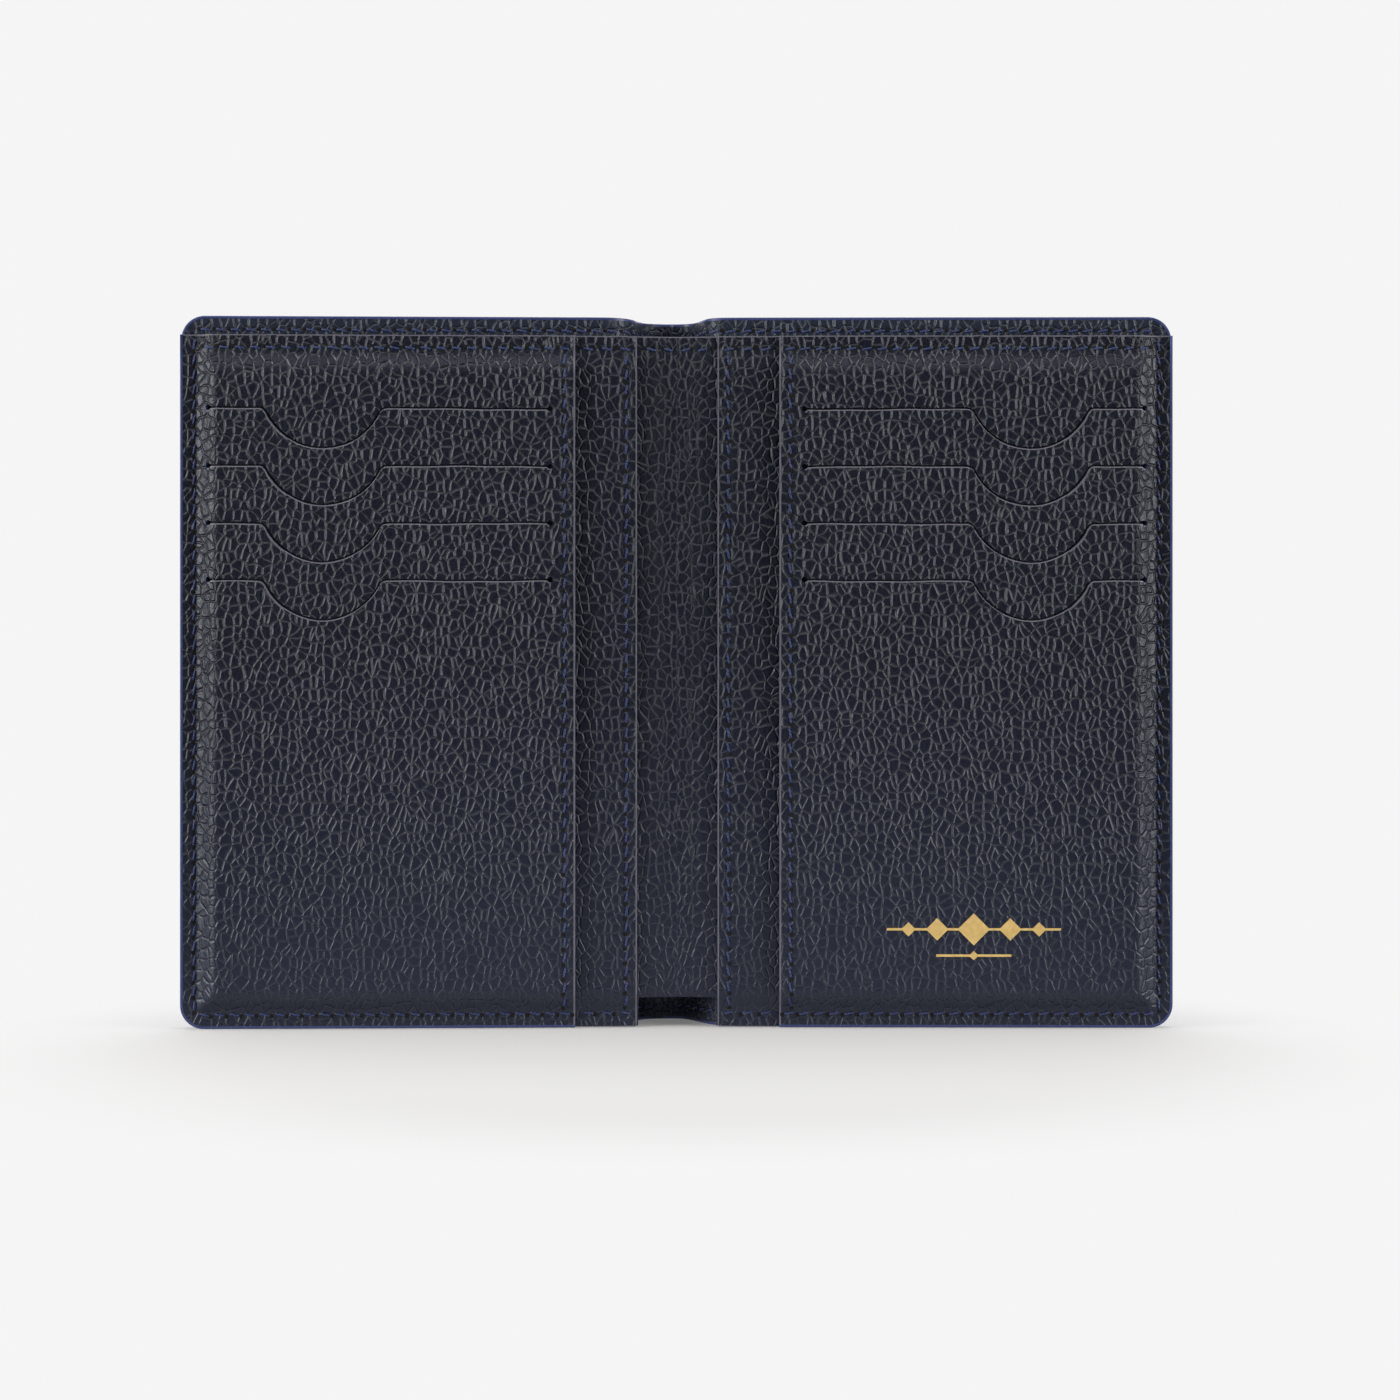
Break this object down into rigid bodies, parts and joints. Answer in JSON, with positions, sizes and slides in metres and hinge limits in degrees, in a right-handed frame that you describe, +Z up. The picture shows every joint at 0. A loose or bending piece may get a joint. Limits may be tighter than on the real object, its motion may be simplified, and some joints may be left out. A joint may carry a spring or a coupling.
{
  "type": "bifold card holder",
  "caption": "Upright leather bifold card holder whose two halves turn on a soft spine, with slip pockets and slotted card panels.",
  "frame": {"origin": "middle of the open holder's bounding box in X and Y, on the surface it stands on", "axes": "+X to the right across both open halves, +Y to the back where the spine's slack stands out, +Z up along the spine"},
  "size_m": [0.1672, 0.0192, 0.12],
  "materials": {
    "grained_leather": "navy pebble grain, semi matt, with painted blue cut edges",
    "lining_textile": "thin dark woven pocket lining",
    "sewing_thread": "navy blue polyester thread",
    "stiffener_board": "raw fibre board, hidden",
    "gold_foil": "hot stamped gold foil"
  },
  "bodies": {
    "spine": {"outer_cover_spine": "grained_leather", "cover_lining_spine": "grained_leather", "inner_wall_fold": "grained_leather", "inner_wall_fold_lining": "lining_textile", "top_thread_fold": "sewing_thread", "spine_top_thread_front": "sewing_thread", "spine_top_thread_back": "sewing_thread", "spine_bottom_thread_front": "sewing_thread", "spine_bottom_thread_back": "sewing_thread"},
    "left_half": {"outer_cover_left": "grained_leather", "cover_stiffener_left": "stiffener_board", "cover_lining_left": "grained_leather", "inner_wall_left": "grained_leather", "inner_wall_lining_left": "lining_textile", "slip_pocket_panel_left": "grained_leather", "slip_pocket_lining_left": "lining_textile", "card_panel_left": "grained_leather", "card_panel_backing_left": "lining_textile", "card_pocket_left_1": "lining_textile", "card_pocket_left_2": "lining_textile", "card_pocket_left_3": "lining_textile", "card_pocket_left_4": "lining_textile", "perimeter_thread_front_left": "sewing_thread", "perimeter_thread_back_left": "sewing_thread", "top_thread_left": "sewing_thread", "slip_edge_thread_left": "sewing_thread", "card_edge_thread_left": "sewing_thread"},
    "right_half": {"outer_cover_right": "grained_leather", "cover_stiffener_right": "stiffener_board", "cover_lining_right": "grained_leather", "inner_wall_right": "grained_leather", "inner_wall_lining_right": "lining_textile", "slip_pocket_panel_right": "grained_leather", "slip_pocket_lining_right": "lining_textile", "card_panel_right": "grained_leather", "card_panel_backing_right": "lining_textile", "card_pocket_right_1": "lining_textile", "card_pocket_right_2": "lining_textile", "card_pocket_right_3": "lining_textile", "card_pocket_right_4": "lining_textile", "perimeter_thread_front_right": "sewing_thread", "perimeter_thread_back_right": "sewing_thread", "top_thread_right": "sewing_thread", "slip_edge_thread_right": "sewing_thread", "card_edge_thread_right": "sewing_thread", "foil_ornament_right": "gold_foil", "foil_short_rule_right": "gold_foil"}
  },
  "joints": [
    {"name": "left_fold", "type": "hinge", "parent": "spine", "child": "left_half", "pos_m": [-0.00588, -0.0024, 0.06], "axis": [0, 0, 1], "range_deg": [-1.5, 88.5], "deforming": ["inner_wall_fold", "inner_wall_fold_lining", "top_thread_fold"]},
    {"name": "right_fold", "type": "hinge", "parent": "spine", "child": "right_half", "pos_m": [0.00588, -0.0024, 0.06], "axis": [0, 0, -1], "range_deg": [-1.5, 88.5], "deforming": ["inner_wall_fold", "inner_wall_fold_lining", "top_thread_fold"]}
  ]
}
